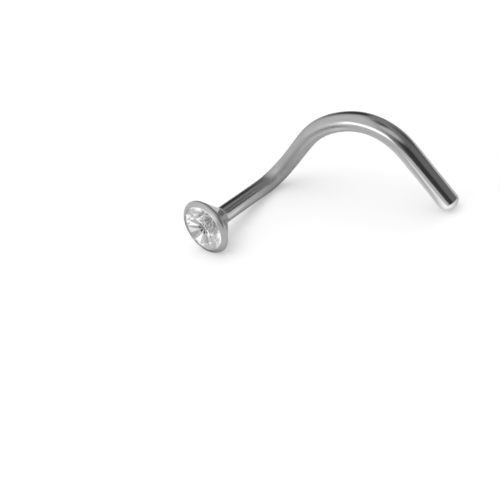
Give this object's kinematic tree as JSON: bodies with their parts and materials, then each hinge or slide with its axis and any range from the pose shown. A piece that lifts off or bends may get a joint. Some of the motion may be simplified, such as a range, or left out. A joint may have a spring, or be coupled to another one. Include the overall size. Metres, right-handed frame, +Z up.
{
  "type": "nose stud",
  "caption": "Screw-type nose stud: a round faceted stone in a rubbed-over cup, on a wire post bent into an arched hook.",
  "frame": {"origin": "bottom centre of the stud's box, on the surface that it lies on", "axes": "+Z up; the stone faces -Y, the post runs back along +Y and slopes down, and the hook reaches along +X"},
  "size_m": [0.0104, 0.006, 0.004],
  "materials": {
    "polished_metal": "polished white metal, such as surgical steel, drawn wire with a bright lip round the stone",
    "cut_stone": "clear colourless brilliant-cut stone, such as cubic zirconia, flat polished facets"
  },
  "bodies": {
    "root": {"setting_and_post": "polished_metal", "stone": "cut_stone"}
  },
  "joints": []
}
